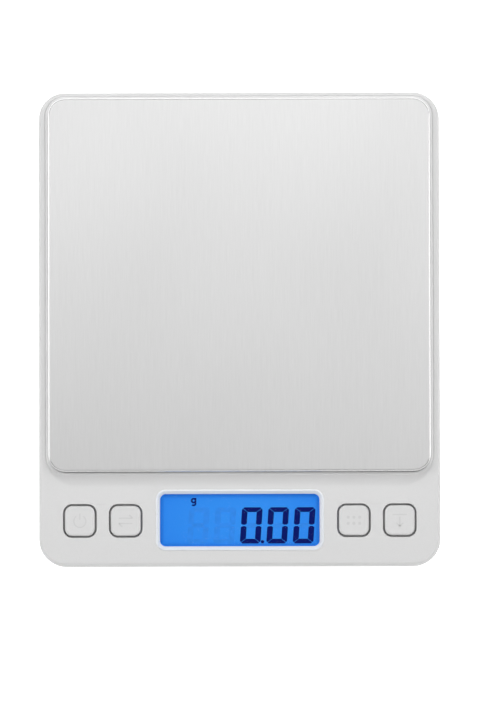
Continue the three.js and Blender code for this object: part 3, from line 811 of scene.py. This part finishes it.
def glowing(name, colour, strength):
    """A printed mark on the lit readout, with a slight unevenness."""
    material, nodes = new_material(name)
    if nodes:
        light = nodes.ramp(nodes.noise(1.5 * MM), (0.3, shade(colour, 0.92)), (0.7, shade(colour, 1.08)))
        nodes.link(light, nodes.shader.inputs["Emission Color"])
        nodes.set(Base_Color=(0.001, 0.002, 0.01, 1), Roughness=0.4, Specular_IOR_Level=0.05)
        nodes.set(Emission_Strength=strength)
    return material


def lcd_ink():
    return glowing("lcd_ink", (0.0, 0.006, 0.14), 0.9)


def lcd_faint():
    return glowing("lcd_faint", (0.036, 0.272, 0.9), 1.0)


def sign_ink():
    return grained("sign_ink", grey(0.625), 0.2 * MM, 0.02, (0.4, 0.5), 0.001 * MM)


def clear_window():
    material, nodes = new_material("clear_window")
    if nodes:
        nodes.roughness(nodes.spread(nodes.noise(6 * MM), 0.03, 0.06))
        nodes.set(Base_Color=(0.005, 0.01, 0.02, 1), Alpha=0.06, IOR=1.49, Specular_IOR_Level=0.1)
    return material


def slot_material(slot):
    """The material of a CAD node that keeps its own mesh."""
    makers = {
        "case_plastic": case_plastic,
        "brushed_steel": brushed_steel,
        "white_plastic": white_plastic,
        "clear_window": clear_window,
        "lcd_blue": lcd_blue,
        "black_plastic": lambda: grained(slot, grey(0.022), 0.3 * MM, 0.15, (0.45, 0.6), 0.01 * MM),
        "rubber": lambda: grained(slot, (0.07, 0.07, 0.074), 0.25 * MM, 0.2, (0.75, 0.9), 0.02 * MM),
        "beam_aluminium": lambda: grained(
            slot, (0.72, 0.73, 0.75), 0.2 * MM, 0.05, (0.3, 0.45), 0.004 * MM, 1),
        "zinc_steel": lambda: grained(slot, (0.55, 0.56, 0.58), 0.3 * MM, 0.08, (0.25, 0.4), 0.004 * MM, 1),
        "spring_steel": lambda: grained(slot, (0.65, 0.66, 0.68), 0.3 * MM, 0.06, (0.2, 0.35), 0.003 * MM, 1),
        "circuit_board": lambda: grained(slot, (0.02, 0.16, 0.06), 0.4 * MM, 0.12, (0.3, 0.4), 0.004 * MM),
        "silicone": lambda: grained(slot, (0.8, 0.8, 0.76), 0.5 * MM, 0.05, (0.45, 0.6), 0.02 * MM),
        "tape": lambda: grained(slot, (0.85, 0.85, 0.82), 0.3 * MM, 0.04, (0.7, 0.85), 0.01 * MM),
        "red_insulation": lambda: grained(slot, (0.45, 0.02, 0.015), 0.4 * MM, 0.1, (0.35, 0.5), 0.004 * MM),
        "cell_sleeve": lambda: grained(slot, (0.05, 0.12, 0.25), 0.5 * MM, 0.08, (0.25, 0.35), 0.002 * MM),
    }
    return makers[slot]()


# ---- CAD nodes that keep their meshes ----


def soften_cad_mesh(piece, width):
    """Joins the flat triangles of a CAD mesh into whole faces and rounds their edges."""
    weld = piece.modifiers.new("weld", "WELD")
    weld.merge_threshold = 1e-7
    merge = piece.modifiers.new("merge flats", "DECIMATE")
    merge.decimate_type = "DISSOLVE"
    merge.angle_limit = math.radians(1)
    bevel = piece.modifiers.new("soft edges", "BEVEL")
    bevel.width = width
    bevel.segments = 2
    bevel.limit_method = "ANGLE"
    bevel.angle_limit = SHARP_EDGE
    bevel.harden_normals = False
    flatten_shading(piece)
    for polygon in piece.data.polygons:
        polygon.use_smooth = True


def dress_cad_nodes():
    slots = {row["node"]: row["material_slot"] for row in frame["record"]["subparts"]}
    standing_in = {node for piece in bpy.data.objects for node in piece.get("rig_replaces", [])}
    for node, piece in frame["nodes"].items():
        if node in standing_in:
            continue
        piece.data.materials.clear()
        piece.data.materials.append(slot_material(slots[node]))
        low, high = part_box(node)
        soften_cad_mesh(piece, min(0.12 * MM, min(high - low) / 12))


# ---- Floor, light and camera ----


def floor():
    size = 3.0
    mesh = bpy.data.meshes.new("floor")
    half = size / 2
    corners = [(-half, -half, 0), (half, -half, 0), (half, half, 0), (-half, half, 0)]
    mesh.from_pydata(corners, [], [(0, 1, 2, 3)])
    plane = bpy.data.objects.new("floor", mesh)
    bpy.context.scene.collection.objects.link(plane)
    material, nodes = new_material("floor")
    nodes.colour(nodes.ramp(nodes.noise(0.2), (0.3, grey(0.92)), (0.7, grey(0.94))))
    nodes.set(Roughness=0.9, Specular_IOR_Level=0.0, Emission_Color=(1, 1, 1, 1), Emission_Strength=0.62)
    mesh.materials.append(material)


def softbox(name, place, size, radiance, target):
    """A soft rectangular light that the camera doesn't see."""
    data = bpy.data.lights.new(name, "AREA")
    data.shape = "RECTANGLE"
    data.size, data.size_y = size
    data.energy = radiance * math.pi * size[0] * size[1]
    light = bpy.data.objects.new(name, data)
    light.location = place
    light.rotation_euler = (Vector(target) - Vector(place)).to_track_quat("-Z", "Y").to_euler()
    light.visible_camera = False
    bpy.context.scene.collection.objects.link(light)


def studio_world():
    """A pale tent, bright towards the back and the front and dark at both sides."""
    brightest = 0.26
    world = bpy.data.worlds.new("studio")
    bpy.context.scene.world = world
    world.use_nodes = True
    tree = world.node_tree
    axes = tree.nodes.new("ShaderNodeSeparateXYZ")
    towards_end = tree.nodes.new("ShaderNodeMath")
    towards_end.operation = "ABSOLUTE"
    level = tree.nodes.new("ShaderNodeMath")
    level.operation = "MULTIPLY"
    level.inputs[1].default_value = brightest
    background = tree.nodes["Background"]
    background.inputs["Color"].default_value = (1, 1, 1, 1)
    tree.links.new(tree.nodes.new("ShaderNodeTexCoord").outputs["Generated"], axes.inputs[0])
    tree.links.new(axes.outputs["Y"], towards_end.inputs[0])
    tree.links.new(towards_end.outputs[0], level.inputs[0])
    tree.links.new(level.outputs[0], background.inputs["Strength"])


def studio_light():
    studio_world()
    softbox("back_softbox", (0.0, 0.32, 0.5), (1.0, 0.6), 1.65, (0, 0.32, 0))
    softbox("front_softbox", (0.0, -0.5, 0.35), (0.9, 0.3), 1.13, (0, 0, 0))
    for name, side in (("left", -1), ("right", 1)):
        softbox(f"{name}_low_softbox", (0.5 * side, 0.0, 0.26), (0.3, 0.9), 1.06, (0, 0, 0))
        softbox(f"{name}_high_softbox", (0.3 * side, 0.0, 0.7), (0.25, 0.7), 0.82, (0, 0, 0))


def camera():
    """A long lens almost straight above and a little towards the front,
    aimed between the case's middle and front."""
    aim = Vector((0.16 * MM, -8.24 * MM, cover_high.z - 3 * MM))
    distance = 2.0
    tilt = math.radians(2.6)
    roll = math.radians(-0.15)
    seen_height = 190.35 * MM
    data = bpy.data.cameras.new("camera")
    data.sensor_width = 36
    data.lens = data.sensor_width * distance / seen_height
    view = bpy.data.objects.new("camera", data)
    view.rotation_euler = (tilt, 0, roll)
    view.location = aim + view.rotation_euler.to_matrix() @ Vector((0, 0, distance))
    bpy.context.scene.collection.objects.link(view)
    bpy.context.scene.camera = view
    bpy.context.scene.view_settings.view_transform = "Standard"


camera()
studio_light()
floor()
top_cover()
weighing_platform()
display_bezel()
readout_ink()
for button in BUTTONS:
    button_cap(button)
dress_cad_nodes()
